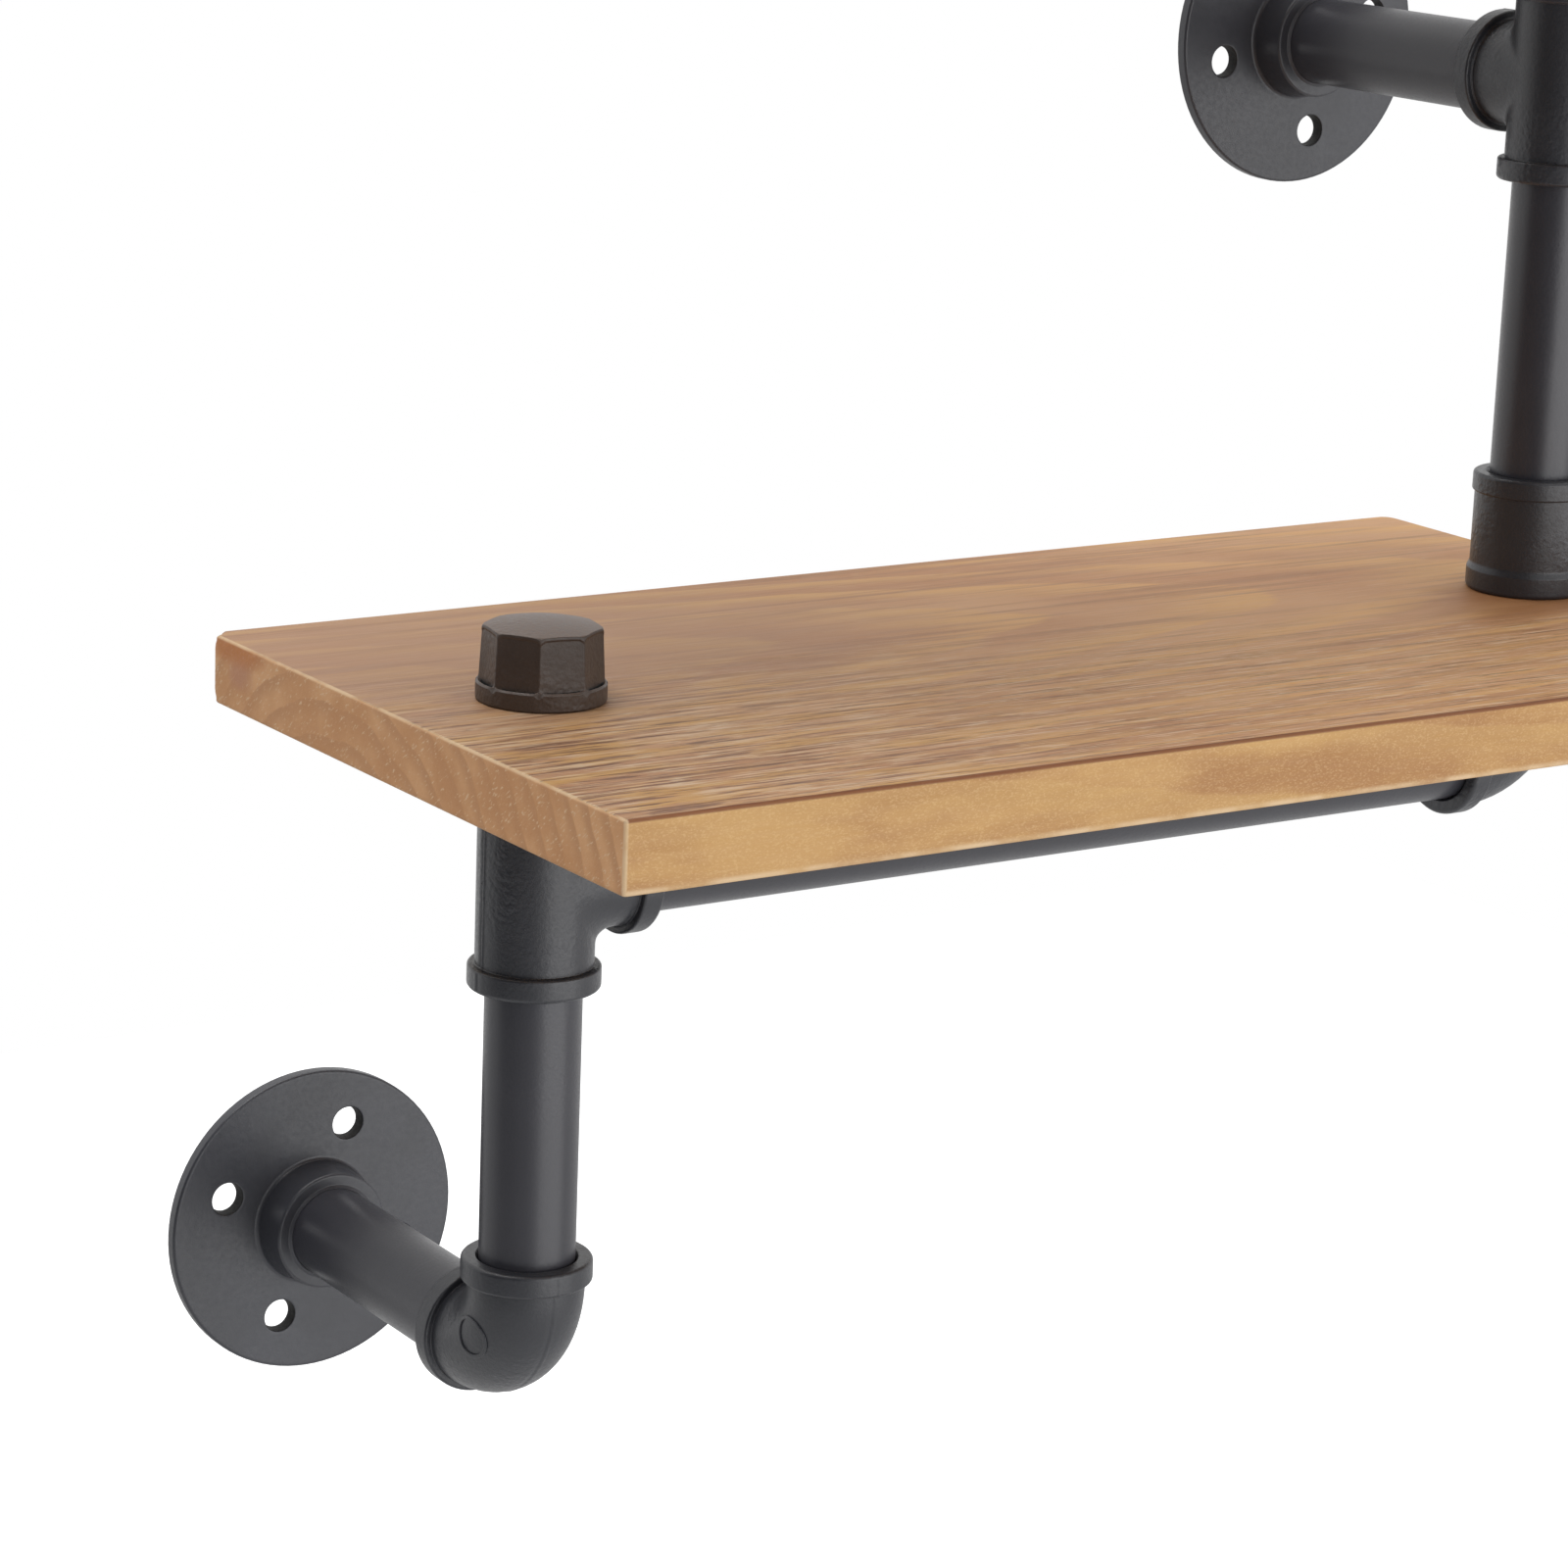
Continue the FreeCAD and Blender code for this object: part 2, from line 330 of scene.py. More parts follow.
def close_finish(colour, roughness, height, depth, specular=0.5):
    """The shader of a finish, with a relief of some depth in metres, wired to the output."""
    relief = follow("Bump", {"Strength": 1.0, "Distance": depth, "Height": height}).outputs[0]
    sockets = {"Base Color": colour, "Roughness": roughness, "Specular IOR Level": specular, "Normal": relief}
    shader = follow("BsdfPrincipled", sockets)
    follow("OutputMaterial", {0: shader.outputs[0]})


print("middle grey in linear light:", round(srgb(128, 128, 128)[0], 3))

# %% [markdown]
# Coated iron.
# Pipe and fittings carry a thin charcoal coat. Drawn pipe stays smooth under it with a faint
# orange-peel; a sand casting shows its pebbled skin. A single grey would look like plastic, so
# tone, gloss and relief all vary a little.

# %% Charcoal finishes for pipe and castings
CLOUDS_PER_METRE = 38.0


def coated_iron(name, tone, gloss, pebbles_per_metre, pebble_height, mottling, dust=None):
    """A charcoal coat over iron, with a pebbled skin whose height is in millimetres."""
    finish, tree = new_finish(name)
    where = add_node(tree, "TexCoord").outputs["Object"]
    clouds = grain(where, CLOUDS_PER_METRE)
    pebbles = grain(where, pebbles_per_metre, detail=5.0, roughness=0.6)
    lumps = grain(where, pebbles_per_metre * 0.6, detail=1.0)
    dark, light = [tuple(v * (1 + change) for v in tone[:3]) + (1.0,) for change in (-mottling, mottling)]
    colour = blend(spread(clouds, 0.35, 0.65), dark, light)
    if dust:
        normal = add_node(tree, "NewGeometry").outputs["Normal"]
        upward = spread(parts_of(normal)[2], 0.6, 0.95)
        settled = times(upward, spread(pebbles, 0.35, 0.6, 0.5, 1.0))
        colour = blend(settled, colour, dust)
    rough = spread(pebbles, 0.3, 0.7, gloss - 0.05, gloss + 0.06)
    skin = times(lumps, spread(clouds, 0.48, 0.60, 0.3, 2.4), pebbles)
    close_finish(colour, rough, skin, pebble_height * MM)
    return finish


pipe_coat = coated_iron("pipe_coat", srgb(54, 54, 60), 0.33, 1500.0, 0.020, 0.05)
cast_coat = coated_iron("cast_coat", srgb(49, 50, 55), 0.35, 1000.0, 0.090, 0.07)
# The flanges get their own copy of the coat: its pebbles and mottling are their own, and its lighter tone is
# painted light that brightens the flange plates.
flange_coat_with_painted_light = coated_iron("flange_coat_with_painted_light", srgb(56, 57, 63), 0.37, 700.0, 0.025, 0.12)
cap_coat = coated_iron("cap_coat", srgb(61, 49, 42), 0.45, 900.0, 0.100, 0.16, dust=srgb(98, 80, 68))
# A near-black copy of the coat, painted shade: it darkens the flange hole walls and the slots at the foot of
# the cap flats, where little light reaches.
painted_shade_coat = coated_iron("painted_shade_coat", srgb(22, 21, 21), 0.75, 1100.0, 0.060, 0.07)
print("finishes:", *[finish.name for finish in bpy.data.materials])

# %% [markdown]
# Pipe.
# Each pipe is a tube with a cut and deburred end. The ends sit in the fittings, and only the
# wall ends of the three wall nipples can be seen, from behind, so those alone carry a cut
# thread: a groove that winds round the end and runs out where the die stopped.

# %% Pipes with softened ends, and threaded ends at the wall
THREAD_PITCH = 1.81
THREAD_DEPTH = 0.55
THREAD_RUN = 13.0
THREAD_FADE = 4.0
RINGS_PER_TURN = 5
PLAIN_STEPS = 6
FOOT_POINTS = 8


def pipe_skin(length, threaded=False):
    """A pipe standing on the origin, threaded at its foot or plain."""
    foot = [(BORE_R, 0, 0.4), (PIPE_R, 0, 0.7)]
    head = [(PIPE_R, length, 0.7), (BORE_R, length, 0.4)]
    line = softened(foot + head, steps=3)
    if not threaded:
        between = [(PIPE_R, height) for height in np.linspace(0, length, PLAIN_STEPS)[1:-1]]
        return turned(np.insert(line, FOOT_POINTS, between, axis=0))
    angles = all_round(64)
    rings = rings_along(line[:FOOT_POINTS], angles)
    for height in np.arange(1.0, THREAD_RUN + 1.5, THREAD_PITCH / RINGS_PER_TURN):
        turn = (height / THREAD_PITCH - angles / (2 * math.pi)) % 1.0
        depth = THREAD_DEPTH * np.clip((THREAD_RUN - height) / THREAD_FADE, 0, 1)
        rings.append(ring(angles, PIPE_R - depth * (1 - np.abs(2 * turn - 1)), height))
    return woven(rings + rings_along(line[FOOT_POINTS:], angles), closed=True)


def add_pipe(node, threaded=False):
    """The pipe of one node, along the longest side of its box."""
    low, high = box_mm(node)
    longest = int(np.argmax(high - low))
    length = (high - low)[longest]
    start = middle_of(node)
    start[longest] = high[longest] if longest == 1 else low[longest]
    turn = [("Y", 90), ("X", 90), ("Z", 0)][longest]
    tube = pipe_skin(length, threaded)
    make_piece(node + "_tube", [tube], placed(*start, turn), pipe_coat, node)
    print(node, "length", round(length, 1), "mm")


for tier in ("lower", "upper"):
    for kind in ("riser_pipe", "cross_pipe", "post_pipe", "cap_nipple", "coupling_nipple"):
        add_pipe(tier + "_" + kind)
for level in ("bottom", "middle", "top"):
    add_pipe(level + "_wall_nipple", threaded=True)

# %% [markdown]
# The mouth of a fitting.
# Elbows and tees end in the same banded mouth: a raised band with a rounded rim, a chamfer that
# leads the pipe in and the socket behind it. One list of corners serves them all, so every
# mouth on the unit matches, as castings from one pattern shop do.

# %% One mouth for elbows and tees
BAND_FOOT = FACE - BAND_WIDTH
FIN_ON_BAND = 0.35
FIN_ON_BEND = 0.3
FIN_HEIGHT, FIN_WIDTH = 0.30, 0.55
GROOVE_DEPTH, GROOVE_WIDTH = 0.40, 0.5
GROOVE_AWAY = 1.0
MOUTH = [
    (BODY_R, BAND_FOOT - 0.5, 0), (BODY_R, BAND_FOOT, 0.3), (BAND_R, BAND_FOOT, 0.8), (BAND_R, FACE, 1.2),
    (SOCKET_R + 0.7, FACE, 0.3), (SOCKET_R, FACE - 0.9, 0.3),
    (SOCKET_R, FACE - SOCKET_DEPTH, 0), (0, FACE - SOCKET_DEPTH, 0),
]
mouth_line = softened(MOUTH, closed=False)


def seam_angles():
    """Column angles for half a barrel, closer together at its middle, where the mould parted."""
    side = list(np.arange(10, 92.5, 5)) + [7.25]
    near = [1.2, 2.4, 3.5, 4.7]
    return np.radians(sorted([-angle for angle in side + near] + [0.0] + near + side))


half_turn = seam_angles()
columns = np.concatenate([half_turn, half_turn[1:-1] + math.pi])
print("rows in a mouth:", len(mouth_line), "and columns round it:", len(columns))


def parting_line(angles, way=1):
    """The fin where the mould parted and the groove beside it, by the angle round a barrel."""
    away = (np.mod(angles + math.pi / 2, math.pi) - math.pi / 2) * BODY_R * way
    fin = FIN_HEIGHT * np.exp(-(away / FIN_WIDTH) ** 2)
    return fin - GROOVE_DEPTH * np.exp(-((away - GROOVE_AWAY) / GROOVE_WIDTH) ** 2)


def mouth_rings(order, ways):
    """One mouth from its band's foot to its socket's floor, with its axes swapped and turned."""
    rings = []
    for radius, height in mouth_line[1:]:
        fin = parting_line(columns) * (FIN_ON_BAND if radius > BAND_R - 0.01 else 0)
        rings.append(ring(columns, radius + fin, height)[:, order] * ways)
    return rings


# %% [markdown]
# Elbow.
# A cast elbow turns a quarter circle from band to band, and its back is so tight that it looks
# like a ball. It could be bent with a curve and a bevel; sweeping rings of points lets the
# parting line of the mould run down its spine and a plain round boss sit on its cheek.

# %% Elbow skin: rings swept through a quarter turn
BEND_R = BAND_FOOT
BEND_STEPS = 18
BOSS_R = 5.5
BOSS_WIDTH = 1.0
BOSS_ALONG = 0.63
BOSS_AROUND = 1.40
BOSS_STRETCH = 1.15


def bend_point(along, around, radius):
    """A point of the elbow, at an angle along the bend and an angle round its section."""
    centre = np.array([0, BEND_R * (1 - math.cos(along)), BEND_R * (1 - math.sin(along))])
    out = np.array([0, -math.cos(along), -math.sin(along)])
    side = np.array([-1.0, 0, 0])
    return centre + radius * (math.cos(around) * out + math.sin(around) * side)


def elbow_skins():
    """An elbow with its corner at the origin and its mouths up +Z and along +Y."""
    fin = parting_line(columns) * FIN_ON_BEND
    bend = []
    for along in np.linspace(0, math.pi / 2, BEND_STEPS + 1):
        bend.append([bend_point(along, angle, BODY_R + rise) for angle, rise in zip(columns, fin)])
    top_mouth = mouth_rings((1, 0, 2), (-1, -1, 1))
    side_mouth = mouth_rings((1, 2, 0), (-1, 1, -1))
    return [woven(top_mouth[::-1] + bend + side_mouth), boss_skin()]


def boss_skin():
    """A plain raised ring on the cheek of an elbow, following its surface."""
    inner_r = BOSS_R - BOSS_WIDTH
    sunk, proud = -0.3, 0.45
    outline = [(BOSS_R, sunk), (BOSS_R, proud, 0.2), (inner_r, proud, 0.2), (inner_r, sunk)]
    rings = []
    for reach, rise in softened(outline, steps=3):
        places = [(BOSS_ALONG + reach * math.cos(angle) / BEND_R,
                   BOSS_AROUND + BOSS_STRETCH * reach * math.sin(angle) / BODY_R) for angle in all_round(40)]
        rings.append([bend_point(along, around, BODY_R + rise) for along, around in places])
    return woven(rings, closed=True)


def seat_castings(skins, node, *seats):
    """Copies of one casting, each with a name, a place along the wall, a height and turns."""
    for name, x, z, *turns in seats:
        make_piece(name, skins, placed(x, post_y, z, *turns), cast_coat, node)


elbow = elbow_skins()
print("points in an elbow:", sum(len(points) for points, faces in elbow))
at_wall = ("bottom_wall_elbow", left_x, wall_z[0]), ("top_wall_elbow", left_x, wall_z[2], ("Y", 180))
seat_castings(elbow, "wall_elbows", *at_wall)
seat_castings(
    elbow, "shelf_elbows",
    ("lower_shelf_elbow", right_x, shelf_z[0], ("Z", 90)),
    ("upper_shelf_elbow", left_x, shelf_z[1], ("Z", -90)),
)

# %% [markdown]
# Tee.
# Two barrels cross in a tee, and the pattern maker blends them where they meet. A boolean
# union would leave a hard, ragged seam; here three arms share their edge points along the
# seam, and every point is then pushed onto one smooth surface that joins both barrels.

# %% Tee skin: three arms pushed onto a blended surface
BRANCH_R = BODY_R - 0.4
BLEND = 5.2
ARM_STEPS = 12
ARM_END = BAND_FOOT - 0.3
PUSHES = 6
NUDGE = 0.01


def blended_distance(points):
    """How far points are outside the tee's blended barrels."""
    x, y, z = points[..., 0], points[..., 1], points[..., 2]
    run = np.hypot(x, y) - BODY_R
    branch = np.sqrt(y ** 2 + z ** 2 + np.minimum(x, 0) ** 2) - BRANCH_R
    reach = BLEND * np.clip(x / BODY_R, 0.001, 1) ** 1.3
    overlap = np.maximum(reach - np.abs(run - branch), 0) / reach
    return np.minimum(run, branch) - overlap ** 2 * reach / 4


def onto_surface(points):
    """Points moved along the slope of the distance until they lie on the surface."""
    for _ in range(PUSHES):
        here = blended_distance(points)
        slope = np.stack([blended_distance(points + step) - blended_distance(points - step)
                          for step in np.eye(3) * NUDGE], axis=-1) / (2 * NUDGE)
        points = points - slope * (here / (slope ** 2).sum(-1))[..., None]
    return points


def run_arm(way):
    """The run's arm above (+1) or below (-1) the branch: its edge on the seam and its foot."""
    seam = ring(columns, BODY_R, way * BODY_R * np.maximum(np.cos(columns), 0))
    return seam, ring(columns, BODY_R, way * ARM_END)


def branch_arm():
    """The branch's arm along +X: its edge on the seam and its foot."""
    cos, sin = np.cos(columns), np.sin(columns)
    seam = np.column_stack([BODY_R * np.abs(cos), BODY_R * sin, BODY_R * cos])
    return seam, ring(columns, BRANCH_R, ARM_END)[:, (2, 1, 0)]


def tee_skins():
    """A tee with its centre at the origin, its run along Z and its branch along +X."""
    fin = (parting_line(columns, -1) * (np.cos(columns) < 0))[:, None]
    share = np.linspace(0, 1, ARM_STEPS + 1)[:, None, None]
    skins = []
    for (seam, foot), rise, order, ways in (
        (run_arm(1), fin, (0, 1, 2), (1, 1, 1)),
        (run_arm(-1), fin, (0, 1, 2), (1, 1, -1)),
        (branch_arm(), 0 * fin, (2, 1, 0), (1, 1, 1)),
    ):
        body = onto_surface((1 - share) * seam + share * foot)
        outward = body - body.mean(axis=1, keepdims=True)
        outward /= np.linalg.norm(outward, axis=-1, keepdims=True)
        skins.append(woven(list(body + outward * rise) + mouth_rings(order, ways)))
    return skins


tee = tee_skins()
print("points in a tee:", sum(len(points) for points, faces in tee))
seat_castings(
    tee, "pipe_tees",
    ("lower_shelf_tee", left_x, shelf_z[0]),
    ("middle_wall_tee", right_x, wall_z[1], ("Z", 90)),
    ("upper_shelf_tee", right_x, shelf_z[1], ("Z", 180)),
)

# %% [markdown]
# Coupling.
# The sleeve that joins the post to the pipe through the board. Its lower band runs out softly
# into the barrel, while the upper band has a crisp foot that holds a thin shadow.

# %% Couplings above the boards
TOP = 36.0
BARREL_R = 17.4
CHAMFER_R = SOCKET_R + 1.2
COUPLING = [
    (SOCKET_R, 1.2, 0.3), (CHAMFER_R, 0, 0.3), (BAND_R, 0, 1.3), (BAND_R, 6.3, 0.9), (BARREL_R, 8.1, 2.2),
    (BARREL_R, TOP - 6.0, 0.2), (BAND_R, TOP - 5.9, 0.5), (BAND_R, TOP, 1.1),
    (CHAMFER_R, TOP, 0.3), (SOCKET_R, TOP - 1.2, 0.3),
]
coupling = turned(softened(COUPLING), 96)
on_boards = ("lower_coupling", right_x, board_top[0]), ("upper_coupling", left_x, board_top[1])
seat_castings([coupling], "couplings", *on_boards)
print("couplings stand on the boards at z", np.round(board_top, 2))

# %% [markdown]
# End cap.
# A cap has eight flats for a spanner, a round band at its foot and a low dome. An eight-sided
# cylinder would meet the dome in knife edges, so its outline is worked out column by column:
# flats with rounded corners, a top edge that bows with the dome, and a round foot. Each flat
# ends in a narrow slot above the band, and each corner runs down into the band without one.

# %% End caps: eight flats, a band and a dome
CAP_TURN = 12.3
CAP_CORNER_R = 17.0
CAP_BAND_R = 17.6
CAP_LIP_R = CAP_BAND_R - 0.6
CAP_HEIGHT = 21.2
CAP_BAND = 5.0
CAP_DROP = 1.6
CAP_LEAN = 0.8
CAP_EDGE = 0.3
CORNER_EASE = 1.0
FLATS = 8
FLAT_COLUMNS = 13
CORNER_STEPS = 4
CORNER_ROUNDING = 1.0
SLOT_ROWS = (17, 25)
SLOT_R = 16.5
SLOT_DEPTH = 1.5
HOLLOW = CAP_CORNER_R * (1 - math.cos(math.pi / FLATS))
DOME_R = (CAP_CORNER_R ** 2 + CAP_DROP ** 2) / (2 * CAP_DROP)


def flats_outline():
    """The angle and radius of each column round the flats and their rounded corners."""
    line = softened(ring(all_round(FLATS), CAP_CORNER_R, CORNER_ROUNDING), steps=CORNER_STEPS)
    corners = line.reshape(FLATS, CORNER_STEPS + 1, 2)
    full = []
    for corner, following in zip(corners, np.roll(corners, -1, axis=0)):
        full += list(corner) + list(np.linspace(corner[-1], following[0], FLAT_COLUMNS + 1)[1:-1])
    full = np.array(full)
    return np.arctan2(full[:, 1], full[:, 0]), np.hypot(full[:, 0], full[:, 1])


def dome_height(radius):
    """Height of the dome at a distance from its middle."""
    return CAP_HEIGHT - DOME_R + math.sqrt(DOME_R ** 2 - radius ** 2)


def cap_column(flat_r):
    """The (radius, height) line of one column, from the socket's floor over the dome."""
    edge_r = flat_r
    for _ in range(8):
        edge_z = dome_height(edge_r)
        edge_r = flat_r - CAP_LEAN * edge_z / CAP_HEIGHT
    foot_r = flat_r - CAP_LEAN * CAP_BAND / CAP_HEIGHT
    hollow = (CAP_CORNER_R - flat_r) / HOLLOW
    corner = max(0.0, 1 - hollow / 0.35)
    shape = [
        (0, SOCKET_DEPTH), (SOCKET_R, SOCKET_DEPTH), (SOCKET_R, 0), (CAP_BAND_R, 0, 0.7),
        (CAP_BAND_R, CAP_BAND - 0.3 - 1.2 * corner, 0.25), (CAP_LIP_R, CAP_BAND + 0.3, 0.15),
        (foot_r + 0.15 - 0.04 * corner, CAP_BAND + 0.3 - SLOT_DEPTH * hollow + 0.6 * corner, 0.05),
        (foot_r, CAP_BAND + 0.6 - 0.6 * hollow + corner, 0.1),
        (edge_r - 0.14 + 0.11 * corner, edge_z - 1.2 - 1.1 * corner, 0.2),
        (edge_r + 0.08 - 0.06 * corner, edge_z - 0.7 - 0.9 * corner, 0.2),
        (edge_r, edge_z, CAP_EDGE + CORNER_EASE * corner), (edge_r * 0.75, dome_height(edge_r * 0.75)),
    ]
    inwards = [(edge_r * share, dome_height(edge_r * share)) for share in (0.6, 0.45, 0.3, 0.15, 0.0)]
    return list(softened(shape, closed=False)) + inwards


def cap_skins():
    """A cap standing on its mouth, and apart from it the narrow slot at the foot of each flat, which takes a
    near-black coat as painted shade.
    """
    angles, radii = flats_outline()
    rows = np.array([cap_column(radius) for radius in radii]).transpose(1, 2, 0)
    rings = [ring(angles, *row) for row in rows]
    first, last = SLOT_ROWS
    points, faces = woven(rings[first:last + 1])
    slots, ridges = [], []
    for k, face in enumerate(faces):
        (slots if radii[k % len(radii)] < SLOT_R else ridges).append(face)
    return [woven(rings[:first + 1]), woven(rings[last:]), (points, ridges)], [(points, slots)]


cap, slots = cap_skins()
for name, x, z in (("lower_end_cap", left_x, board_top[0]), ("upper_end_cap", right_x, board_top[1])):
    place = placed(x, post_y, z, ("Z", CAP_TURN))
    # The slots at the foot of the flats take the near-black coat: painted shade.
    make_piece(name, cap, place, cap_coat, "end_caps", slots, painted_shade_coat)
print("points in a cap:", len(cap[0][0]))

# %% [markdown]
# Wall flange.
# A round plate with four screw holes and a hub that takes the nipple. Holes could be cut with
# booleans, but a loop of faces laid round each hole keeps the plate clean, and lets the holes
# open a little towards the front, as the draft of a casting does.

# %% Wall flanges with four flared holes
FLANGE_R = 46.0
PLATE = 4.0
HUB_R = 18.5
HUB_TOP = 15.5
HUB_HEAD_R = 17.6
HOLE_CIRCLE_R = 30.5
HOLE_R = 4.5
HOLE_DRAFT = 0.45
INNER_R = HUB_R + 3.6
OUTER_R = FLANGE_R - 1.3
QUARTER = math.pi / 4
ARC_STEPS = 24
SIDE_STEPS = 8
FLANGE_TURNS = (69.0, 13.0, 38.0)


def sector_edge():
    """The edge of the quarter of the plate round one hole, as a loop of points."""
    arc = np.linspace(-QUARTER, QUARTER, ARC_STEPS + 1)
    side = np.linspace(INNER_R, OUTER_R, SIDE_STEPS + 1)
    loop = [(INNER_R, angle) for angle in arc[:-1]] + [(radius, QUARTER) for radius in side[:-1]]
    loop += [(OUTER_R, angle) for angle in arc[:0:-1]] + [(radius, -QUARTER) for radius in side[:0:-1]]
    return np.array([(radius * math.cos(angle), radius * math.sin(angle)) for radius, angle in loop])


def hole_sector():
    """A quarter of the plate, front and back, with the wall of its hole between them."""
    edge = sector_edge()
    centre = np.array([HOLE_CIRCLE_R, 0.0])
    away = edge - centre
    ways = away / np.linalg.norm(away, axis=1, keepdims=True)
    outline = [(HOLE_R + 3, PLATE), (HOLE_R + HOLE_DRAFT, PLATE, 0.55), (HOLE_R, 0, 0.3), (HOLE_R + 3, 0)]
    wall = softened(outline, closed=False)[1:-1]

    def loop(radius, height, share=0.0):
        spots = centre + ways * radius * (1 - share) + away * share
        return np.column_stack([spots, np.full(len(spots), height)])

    walls = [loop(radius, height) for radius, height in wall]
    shares = (1.0, 0.7, 0.42, 0.2, 0.07)
    front = [loop(wall[0][0], PLATE, share) for share in shares]
    back = [loop(wall[-1][0], 0.0, share) for share in shares]
    return woven(front + walls[:3]), woven(walls[-1:] + back[::-1]), woven(walls[2:])


def spun(skin, angle):
    """A skin turned about the Z axis."""
    points, faces = skin
    cos, sin = math.cos(angle), math.sin(angle)
    return points @ np.array([[cos, sin, 0], [-sin, cos, 0], [0, 0, 1]]), faces


def flange_ring(outline):
    """Part of the flange that is round all the way, in columns that meet the hole sectors."""
    angles = np.linspace(-QUARTER, 7 * QUARTER, 4 * ARC_STEPS, endpoint=False)
    return woven(rings_along(softened(outline, closed=False, steps=5), angles))


def flange_skins():
    """A flange with its back on z = 0 and its hub up +Z."""
    bead_r = PIPE_R + 0.03
    hub = flange_ring([
        (INNER_R, PLATE), (HUB_R + 0.1, PLATE, 1.3), (HUB_HEAD_R, HUB_TOP, 0.9),
        (PIPE_R + 1.0, HUB_TOP, 0.5), (bead_r, HUB_TOP + 0.7, 0.1), (bead_r, HUB_TOP - 1, 0.01),
        (SOCKET_R, HUB_TOP - 1.2, 0.02), (SOCKET_R, 0, 0.5), (INNER_R, 0),
    ])
    rim = flange_ring([(OUTER_R, PLATE), (FLANGE_R, PLATE, 0.9), (FLANGE_R, 0, 0.5), (OUTER_R, 0)])
    parts = [[spun(skin, i * math.pi / 2) for skin in hole_sector()] for i in range(4)]
    plates = [skin for front, back, wall in parts for skin in (front, back)]
    return plates + [hub, rim], [wall for front, back, wall in parts]


flange, hole_walls = flange_skins()
# The flange plates take the lighter coat, whose lighter tone is painted light.
for index, level in enumerate(("bottom", "middle", "top")):
    x = left_x if index % 2 == 0 else right_x
    place = placed(x, 0, wall_z[index], ("Z", FLANGE_TURNS[index]), ("X", 90))
    name = level + "_wall_flange"
    # The hole walls take the near-black coat: painted shade.
    make_piece(name, flange, place, flange_coat_with_painted_light, "wall_flanges", hole_walls, painted_shade_coat)
print("points in a flange:", sum(len(points) for points, faces in flange))

# %% [markdown]
# Stained and brushed pine.
# The boards are pine, stained brown; a wire brush has raised the grain on top and left pale
# dust in it, while the planed edges took the stain as golden tan. Wood is solid, so the rings
# are worked out in three dimensions: the same rings show as a pointed swirl on top and as arcs
# on the end. A flat pattern laid on each face would not meet at the corners.

# %% Growth rings
RING_CENTRE = (0.030, -0.075)
RING_LEAN = 0.10
RING_SPACING = 0.0090
RING_START = 0.0843
RING_SWAY = 0.020
RING_RIPPLE = 0.005


def ring_pattern(where):
    """0 in the soft early wood to 1 in the hard late wood, by the distance to a leaning pith line."""
    x, y, z = parts_of(where)
    sway = grain(where, 7.0, (0.5, 1, 1), detail=2.0)
    ripple = grain(where, 60.0, (0.10, 1, 1))
    across = sum_up("ADD", y, times(sway, RING_SWAY, -RING_SWAY / 2 - RING_CENTRE[0]))
    upward = sum_up("ADD", z, times(x, RING_LEAN, -RING_CENTRE[1]))
    distance = sum_up("SQRT", times(across, across, times(upward, upward)))
    distance = sum_up("SUBTRACT", distance, RING_START + RING_RIPPLE / 2)
    distance = times(ripple, RING_RIPPLE, distance)
    part = sum_up("FRACT", sum_up("DIVIDE", distance, RING_SPACING))
    return times(spread(part, 0.30, 0.85), spread(part, 0.93, 1.0, 1.0, 0.0))


print("growth rings every", round(RING_SPACING / MM, 1), "mm")

# %% [markdown]
# Three faces of one plank.
# Brushed top: brown early wood, golden late wood, dark furrows and pale dust in thin lines.
# Planed edge: golden, with fine light flecks. Sawn end: darker arcs and light open pores. Each
# is one function, so each can be tuned alone and the finish only has to choose between them.

# %% Colours of the top, the edges and the ends
PALE_DUST = (212, 186, 156)


def clouded(cloud, dull, bright):
    """A colour that drifts between two tones from 0 to 255."""
    return blend(spread(cloud, 0.35, 0.65), srgb(*dull), srgb(*bright))


def brushed_top(where, late, lines, strands, brushed):
    """Colour of the wire-brushed top: golden late wood, brown streaks, dark furrows and pale dust."""
    cloud = grain(where, 16.0, (0.4, 1, 1))
    streaks = grain(where, 170.0, (0.035, 1, 1), roughness=0.6)
    golden = times(late, spread(streaks, 0.36, 0.60, 0.15, 0.85))
    dark = times(spread(lines, 0.46, 0.38), times(brushed, 0.50, 0.12))
    dust = times(spread(strands, 0.54, 0.62), times(brushed, 0.65, 0.25))
    return layered(
        clouded(cloud, (180, 132, 93), (197, 153, 112)),
        (golden, (207, 162, 106)),
        (spread(streaks, 0.50, 0.33, 0.0, 0.55), (150, 108, 78)),
        (dark, (108, 70, 44)),
        (dust, PALE_DUST),
    )


def frayed_fibres(where, colour, fibres, frayed):
    """Golden stain, dark pits and pale torn fibres, where the brush dug in near the board's end."""
    gold = grain(where, 110.0, (0.22, 1, 1))
    return layered(
        colour,
        (times(frayed, spread(gold, 0.50, 0.62, 0.0, 0.65)), (200, 152, 82)),
        (times(frayed, spread(fibres, 0.48, 0.39, 0.0, 0.85)), (108, 71, 49)),
        (times(frayed, spread(fibres, 0.54, 0.63, 0.0, 0.7)), (220, 192, 160)),
    )


def planed_edge(where, late):
    """Colour of the planed long edges."""
    cloud = grain(where, 45.0, (0.3, 1, 1), detail=4.0, roughness=0.6)
    flecks = grain(where, 2600.0, (0.5, 1, 1), detail=2.0)
    return layered(
        clouded(cloud, (170, 124, 78), (197, 154, 98)),
        (times(late, 0.40), (204, 164, 104)),
        (spread(flecks, 0.48, 0.70, 0.0, 0.28), (226, 192, 142)),
    )


